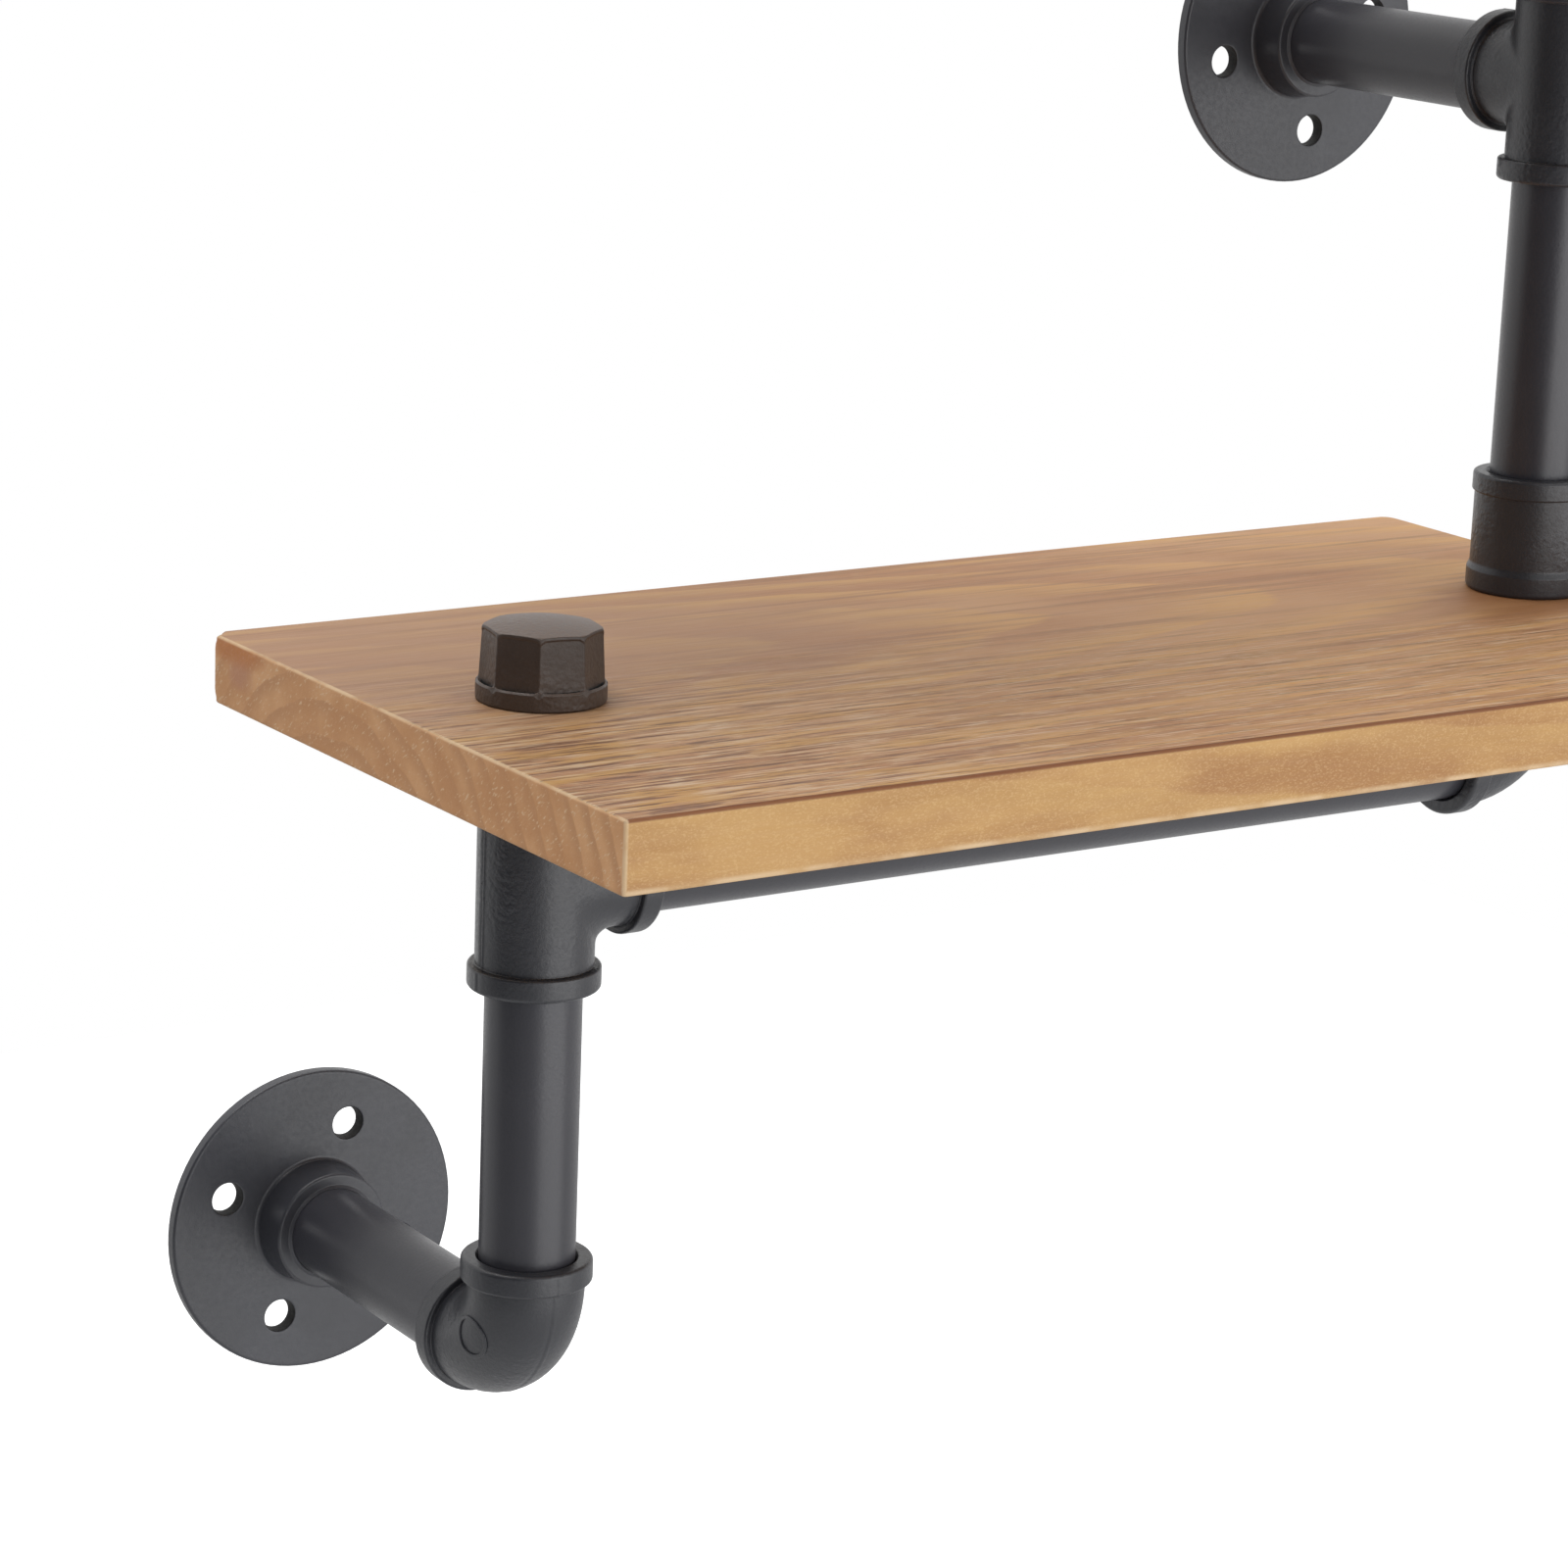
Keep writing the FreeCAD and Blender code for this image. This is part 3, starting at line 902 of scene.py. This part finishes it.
def sawn_end(where, late):
    """Colour of the sawn ends."""
    cloud = grain(where, 45.0)
    pores = grain(where, 1900.0, (1, 0.25, 1), detail=2.0, turn=(0.7, 0, 0))
    return layered(
        clouded(cloud, (202, 147, 99), (218, 166, 118)),
        (times(late, spread(cloud, 0.35, 0.65, 0.12, 0.45)), (162, 108, 70)),
        (spread(pores, 0.61, 0.70, 0.0, 0.75), (226, 196, 158)),
    )


print("dust in linear light:", np.round(srgb(*PALE_DUST)[:3], 2))

# %% [markdown]
# Where stain behaves at an edge.
# Stain pools along the front arris and is rubbed off the end arris, and it soaks in deeper by
# the post hole and at one knotty corner. It could be painted on by hand; a band chosen by
# position costs no points and follows the board.

# %% Stain spots and worn edges
board_low, board_high = box_mm("lower_board")
FRONT_Y = (board_low[1] - post_y) * MM
LEFT_X = board_low[0] * MM
RIGHT_X = board_high[0] * MM
THICK = (board_high[2] - board_low[2]) * MM
print("board in millimetres:", np.round(board_high - board_low, 1))


def blot(where, middle, stretch, reach):
    """A soft stain spot round a point, ragged at its rim."""
    off = vector_step("MULTIPLY", vector_step("SUBTRACT", where, middle), stretch)
    far = follow("VectorMath", {0: off}, operation="LENGTH").outputs["Value"]
    ragged = grain(where, 90.0, (0.3, 1, 1), detail=2.0)
    far = times(ragged, reach * 0.8, sum_up("SUBTRACT", far, reach * 0.4))
    return spread(far, reach * 0.3, reach, 1.0, 0.0)


def stained_top(spot, colour, post_x):
    """The top's colour, lighter towards the front right and deeper by the post and far on the left."""
    x, y, z = parts_of(spot)
    level = spread(times(y, -0.8, x), -0.02, 0.33, 0.86, 1.34)
    colour = follow("VectorMath", {0: colour, "Scale": level}, operation="SCALE").outputs[0]
    far_left = blot(spot, (LEFT_X + 0.05, 0.05, 0), (0.6, 1, 1), 0.10)
    return layered(
        colour,
        (blot(spot, (post_x, -0.01, 0), (0.5, 1, 1), 0.035), (178, 126, 84)),
        (times(far_left, 0.55), (160, 124, 99)),
    )


def knotty_corner(spot, colour, end, knot_at):
    """The orange rim of a knot on a sawn end, and the brown wood under it."""
    x, y, z = knot_at
    shown = times(end, 0.8)
    brown = blot(spot, (x, y, z - 0.007), (1, 0.8, 1.1), 0.008)
    orange = blot(spot, (x, y + 0.006, z), (1, 0.40, 1.3), 0.010)
    return layered(
        colour,
        (times(brown, shown), (190, 136, 104)),
        (times(orange, shown), (190, 118, 62)),
    )


def near(value, edge, fading, sure):
    """1 up to the sure distance from an edge, falling to 0 at the fading one."""
    return spread(value, edge + fading, edge + sure)


def worn_edges(where, spot, colour, sideways):
    """Stain pooled along the front arris, and pale wood where the other edges are rubbed."""
    x, y, z = parts_of(spot)
    front = near(y, FRONT_Y, 0.0012, 0.0006)
    pooled = times(front, near(z, 0, -0.0012, -0.0006))
    rubbed = times(near(x, LEFT_X, 0.0010, 0.0004), near(z, 0, -0.0010, -0.0004))
    foot = times(near(z, -THICK, 0.0022, 0.0008), spread(sideways, -0.4, -0.8))
    corner = times(near(x, LEFT_X, 0.0012, 0.0006), front)
    pale = sum_up("MAXIMUM", corner, sum_up("MAXIMUM", rubbed, foot))
    worn = spread(grain(where, 60.0), 0.36, 0.60, 0.2, 0.75)
    return layered(
        colour,
        (times(pooled, 0.9), (116, 66, 38)),
        (times(pale, worn), (226, 198, 160)),
    )


# %% [markdown]
# One finish for a whole board.
# The way each point faces picks the top's, the edge's or the end's colour. The boards could
# share one finish, but cut from their own lengths of the log they differ, as real ones do.

# %% A pine finish for each board
GRAIN_DEPTH = 0.6 * MM
PINE_SHINE = 0.35


def pine_stain(name, along_log, post_x, knot_at):
    """Stained pine: brushed top, planed edges and sawn ends, cut from its own length of the log."""
    finish, tree = new_finish(name)
    spot = add_node(tree, "TexCoord").outputs["Object"]
    x, y, z = parts_of(spot)
    where = vector_step("ADD", spot, (along_log, 0, 0))
    facing = parts_of(add_node(tree, "NewGeometry").outputs["Normal"])
    up = spread(facing[2], 0.60, 0.85)
    end = spread(sum_up("ABSOLUTE", facing[0]), 0.60, 0.85)
    late = ring_pattern(where)
    lines = grain(where, 520.0, (0.035, 1, 1), detail=5.0, roughness=0.7)
    strands = grain(where, 1100.0, (0.045, 1, 1), roughness=0.7)
    fibres = grain(where, 430.0, (0.06, 1, 1), detail=4.0, roughness=0.66)
    zone = grain(where, 9.0, (0.6, 1, 1), detail=2.0)
    brushed = spread(times(zone, 0.08, times(x, 0.12, y)), 0.085, 0.02)
    frayed = times(brushed, spread(x, 0.15, 0.0, 0.15, 1.0))

    top = brushed_top(where, late, lines, strands, brushed)
    top = stained_top(spot, frayed_fibres(where, top, fibres, frayed), post_x)
    colour = blend(up, planed_edge(where, late), top)
    colour = blend(end, colour, sawn_end(where, late))
    colour = knotty_corner(spot, colour, end, knot_at)
    colour = worn_edges(where, spot, colour, facing[1])

    relief = times(late, 0.2, times(lines, 0.8, times(strands, 0.5)))
    relief = times(fibres, times(frayed, 0.8), relief)
    relief = times(relief, times(times(up, brushed), 0.8, 0.2))
    close_finish(colour, spread(strands, 0.3, 0.7, 0.50, 0.66), relief, GRAIN_DEPTH, PINE_SHINE)
    return finish


pine = {
    "lower": pine_stain("lower_pine", 0.0, right_x * MM, (LEFT_X, 0.088, -0.001)),
    "upper": pine_stain("upper_pine", -0.25, left_x * MM, (RIGHT_X, 0.030, -0.012)),
}
print("wood finishes:", [finish.name for finish in pine.values()])

# %% [markdown]
# Boards.
# Each board is one plank with rounded corners and eased edges, its back left corner worn
# round. A box with a bevel would do from afar; a fine grid lets the brushed top dip along the
# grain, so the light catches real furrows.

# %% Eased edges, rounded corners and brushed furrows
FRONT_CORNER = 1.0
BACK_CORNER = 4.0
BOARD_EASE = 0.9
CORNER_WEAR = 4.0
ALONG, ACROSS = 3.2, 1.7
END_STEPS = [0, 0.2, 0.5, 0.8, 1.0, 1.7, 2.7, 4.0]
FRONT_STEPS = [0, 0.2, 0.5, 0.8, 1.0]
BACK_STEPS = [0, 0.5, 1.3, 2.5, 4.0]
EDGE_STEPS = [1.6, 2.7, 4.0]


def grid_steps(low, high, step, near_low, near_high):
    """Positions across a board, close together where a corner is rounded."""
    first, last = near_low[-1], near_high[-1]
    count = max(2, int(round((high - low - first - last) / step)) + 1)
    inner = np.linspace(low + first, high - last, count)[1:-1]
    return np.concatenate([low + np.array(near_low), inner, high - np.array(near_high)[::-1]])


def furrow(x, y, board_seed):
    """Depth of the brushed furrows at a point of the top."""
    broad = noise.noise(Vector((x * 0.006, y * 0.16, board_seed)))
    fine = noise.noise(Vector((x * 0.016, y * 0.55, board_seed + 7.0)))
    return 0.10 * max(0.0, broad + 0.1) + 0.16 * max(0.0, fine)


def rounded_corner(x, y, low, high):
    """A point of the square grid drawn in to the board's rounded upright corners."""
    corner = FRONT_CORNER if y < (low[1] + high[1]) / 2 else BACK_CORNER
    nearest = np.clip([x, y], low[:2] + corner, high[:2] - corner)
    away = np.array([x, y]) - nearest
    if np.min(np.abs(away)) < 1e-9:
        return np.array([x, y])
    return nearest + away / np.linalg.norm(away) * np.max(np.abs(away))


def worn_corner(points, low, high):
    """The points of a board, with those at its back left corner drawn in to a ball."""
    side = np.where(points[:, 2] > (low[2] + high[2]) / 2, 1, -1)
    level = np.where(side > 0, high[2] - points[:, 2], points[:, 2] - low[2])
    behind = points[:, 1] - high[1] + CORNER_WEAR
    past = np.column_stack([low[0] + CORNER_WEAR - points[:, 0], behind, CORNER_WEAR - level])
    past = np.clip(past, 0, None)
    length = np.maximum(np.linalg.norm(past, axis=1), CORNER_WEAR)
    pull = (1 - CORNER_WEAR / length) * np.clip(2 * past[:, :2].min(axis=1) / CORNER_WEAR, 0, 1)
    ways = np.column_stack([np.ones(len(points)), -np.ones(len(points)), -side])
    return points + past * ways * pull[:, None]


def board_skins(low, high, board_seed):
    """The top and the underside as grids, and the edge as rings between them."""
    middle, half = (low[:2] + high[:2]) / 2, (high[:2] - low[:2]) / 2

    def drawn_in(spots, inset):
        return middle + (spots - middle) * (half - inset) / half

    def at_height(spots, height):
        return np.column_stack(np.broadcast_arrays(spots[:, 0], spots[:, 1], height))

    def dip(x, y):
        fade = min(x - low[0], high[0] - x, y - low[1], high[1] - y) / 3 - BOARD_EASE / 3
        return furrow(x, y, board_seed) * max(0.0, min(1.0, fade))

    xs = grid_steps(low[0], high[0], ALONG, END_STEPS, END_STEPS)
    ys = grid_steps(low[1], high[1], ACROSS, FRONT_STEPS, BACK_STEPS)
    flat = np.array([[rounded_corner(x, y, low, high) for y in ys] for x in xs])
    inner = drawn_in(flat, BOARD_EASE).reshape(-1, 2)
    top = at_height(inner, high[2] - np.array([dip(x, y) for x, y in inner]))
    starts = [i * len(ys) + j for i in range(len(xs) - 1) for j in range(len(ys) - 1)]
    cells = [(k, k + len(ys), k + len(ys) + 1, k + 1) for k in starts]
    loop = np.concatenate([flat[:-1, 0], flat[-1, :-1], flat[:0:-1, -1], flat[0, :0:-1]])
    levels = [high[2] - step for step in EDGE_STEPS] + [low[2] + step for step in EDGE_STEPS[::-1]]
    profile = [(BOARD_EASE, high[2]), (0, high[2], BOARD_EASE * 0.999), *[(0, level) for level in levels]]
    profile += [(0, low[2], BOARD_EASE * 0.999), (BOARD_EASE, low[2])]
    edge = [at_height(drawn_in(loop, inset), height) for inset, height in softened(profile, closed=False)]
    skins = ((top, cells), (at_height(inner, low[2]), cells), woven(edge))
    return [(worn_corner(points, low, high), faces) for points, faces in skins]


print("board grid:", ALONG, "mm along the grain and", ACROSS, "mm across it")

# %% [markdown]
# Bores for the pipes.
# The nipples pass through each board in plain bored holes. The holes could be laid into the
# grid, but a cutter the shape of a drill leaves the furrows round them as they are.

# %% Bore the holes and set the boards down
BOARD_HOLE_R = 14.15
DRILL_ENDS = (-20, 40)


def cut_pipe_hole(board, x, y, z):
    """Bores one pipe hole through a board."""
    below, above = DRILL_ENDS
    points, faces = turned([(0, below), (BOARD_HOLE_R, below), (BOARD_HOLE_R, above), (0, above)])
    mesh = bpy.data.meshes.new("drill")
    mesh.from_pydata((points * MM + np.array([x, y, z]) * MM).tolist(), [], faces)
    weld(mesh)
    drill = add_object("drill", mesh)
    cut = board.modifiers.new("pipe hole", "BOOLEAN")
    cut.operation = "DIFFERENCE"
    cut.solver = "EXACT"
    cut.object = drill
    board.modifiers.move(len(board.modifiers) - 1, 0)
    cut_board = board.evaluated_get(bpy.context.evaluated_depsgraph_get())
    board.data = bpy.data.meshes.new_from_object(cut_board)
    board.modifiers.remove(cut)
    bpy.data.objects.remove(drill)


for index, tier in enumerate(("lower", "upper")):
    low, high = box_mm(tier + "_board")
    skins = board_skins(low, high, 3.0 + 20 * index)
    name = tier + "_shelf_board"
    board = make_piece(name, skins, placed(0, 0, 0), pine[tier], tier + "_board")
    for x in (left_x, right_x):
        cut_pipe_hole(board, x, post_y, low[2])
    shift = Matrix.Translation(Vector((0.0, post_y, high[2])) * MM)
    board.data.transform(shift.inverted())
    board.matrix_world = shift
    print(tier, "board", np.round(high - low, 1), "mm,", len(board.data.polygons), "faces")

# %% [markdown]
# Studio.
# A pale floor well below the unit and a white surround stand in for the paper sweep of a
# studio. Black pipe is drawn by what it reflects: one wide soft box at the front gives the
# long highlight, and the room's unlit side gives the dark line beside it. A surround that is
# white all round would leave the pipe flat and grey.

# %% Floor, surround and lamps
def path_white(tree, in_gloss=1.0):
    """1 where the camera sees the surround, and in_gloss where gloss or glass shows it."""
    rays = add_node(tree, "LightPath").outputs
    through = sum_up("MAXIMUM", rays["Is Glossy Ray"], rays["Is Transmission Ray"])
    return sum_up("MAXIMUM", rays["Is Camera Ray"], times(through, in_gloss))


UNLIT_SIDE = math.radians(250)
FILL_LIGHT = 0.46
WHITE = (1, 1, 1, 1)


def room_tone(tree):
    """1 towards the white walls of the room, 0 towards its unlit side."""
    x, y, z = parts_of(add_node(tree, "TexCoord").outputs["Generated"])
    along = times(x, math.sin(UNLIT_SIDE), times(y, math.cos(UNLIT_SIDE)))
    level = sum_up("SQRT", times(x, x, times(y, y)))
    return spread(sum_up("DIVIDE", along, level), 0.56, 0.88, 1.0, 0.0)


world = bpy.data.worlds.new("surround")
bpy.context.scene.world = world
world.use_nodes = True
room = world.node_tree
room.nodes.clear()
to_camera = add_node(room, "LightPath").outputs["Is Camera Ray"]
seen_white = sum_up("MAXIMUM", to_camera, room_tone(room))
shown = add_node(room, "Background", {0: WHITE, 1: seen_white})
fill = add_node(room, "Background", {0: WHITE, 1: FILL_LIGHT})
mix = add_node(room, "MixShader", {0: path_white(room), 1: fill.outputs[0], 2: shown.outputs[0]})
add_node(room, "OutputWorld", {0: mix.outputs[0]})

FLOOR_Z = -1.0
FLOOR_REACH = 3
PAPER = (0.62, 0.62, 0.62, 1)
floor_finish, floor_tree = new_finish("paper_floor")
paper = add_node(floor_tree, "BsdfDiffuse", {0: PAPER})
glow = add_node(floor_tree, "Emission", {0: WHITE, 1: path_white(floor_tree, in_gloss=0.25)})
both = add_node(floor_tree, "AddShader", {0: paper.outputs[0], 1: glow.outputs[0]})
add_node(floor_tree, "OutputMaterial", {0: both.outputs[0]})
floor_corners = [(FLOOR_REACH * x, FLOOR_REACH * y, FLOOR_Z) for x, y in ((-1, -1), (1, -1), (1, 1), (-1, 1))]
floor_mesh = bpy.data.meshes.new("floor")
floor_mesh.from_pydata(floor_corners, [], [(0, 1, 2, 3)])
floor_mesh.materials.append(floor_finish)
floor = add_object("floor", floor_mesh)
floor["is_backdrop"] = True

UNIT_X, UNIT_Y = 0.17, -0.12


def add_soft_box(name, heading, reach, height, aim_height, size, watts):
    """A soft box near the unit and aimed at it, at a heading in degrees from +Y towards +X."""
    lamp_data = bpy.data.lights.new(name, "AREA")
    lamp_data.shape = "RECTANGLE"
    lamp_data.size, lamp_data.size_y = size
    lamp_data.energy = watts
    lamp = add_object(name, lamp_data)
    turn = math.radians(heading)
    lamp.location = (UNIT_X + reach * math.sin(turn), UNIT_Y + reach * math.cos(turn), height)
    to_unit = Vector((UNIT_X, UNIT_Y, aim_height)) - lamp.location
    lamp.rotation_euler = to_unit.to_track_quat("-Z", "Y").to_euler()


add_soft_box("front_soft_box", 161.5, 2.0, 0.0, 0.1, (2.35, 1.9), 27.0)
add_soft_box("top_soft_box", 300, 0.46, 3.0, 0.2, (2.5, 2.5), 72.0)
print("lamps:", [lamp.name for lamp in bpy.data.lights])

# %% [markdown]
# Camera.
# A long lens from the left, a little above the lower board. Its three axes are worked out
# from the way it looks and how far it is tipped over.

# %% Camera
LOOK_RIGHT = 0.5905
LOOK_DOWN = 0.2534
TIPPED = 0.0392
LENS = 106.84
SENSOR_WIDTH = 36.0
CAMERA_PLACE = (-0.61392, -1.16114, 0.47643)
level = Vector((math.cos(LOOK_RIGHT), -math.sin(LOOK_RIGHT), 0))
forward = Vector((math.sin(LOOK_RIGHT) * math.cos(LOOK_DOWN),
                  math.cos(LOOK_RIGHT) * math.cos(LOOK_DOWN), -math.sin(LOOK_DOWN)))
upright = level.cross(forward)
across = math.cos(TIPPED) * level + math.sin(TIPPED) * upright
upward = math.cos(TIPPED) * upright - math.sin(TIPPED) * level
camera_data = bpy.data.cameras.new("camera")
camera_data.sensor_width = SENSOR_WIDTH
camera_data.sensor_fit = "HORIZONTAL"
camera_data.lens = LENS
camera = add_object("camera", camera_data)
axes = Matrix((across, upward, -forward)).transposed().to_4x4()
camera.matrix_world = Matrix.Translation(CAMERA_PLACE) @ axes
bpy.context.scene.camera = camera
bpy.context.scene.view_settings.view_transform = "Standard"
print("camera at", [round(v, 3) for v in camera.location])

# %% [markdown]
# Last, the size of the dressed unit is set beside the size of the frame.

# %% Set the sizes side by side and finish
bpy.context.view_layer.update()
low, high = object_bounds()
sizes = {"cad": [list(cad_low), list(cad_high)], "visual": [list(low), list(high)]}
print("dressed box in metres:", [round(v, 4) for v in (*low, *high)], "pieces:", len(MADE))
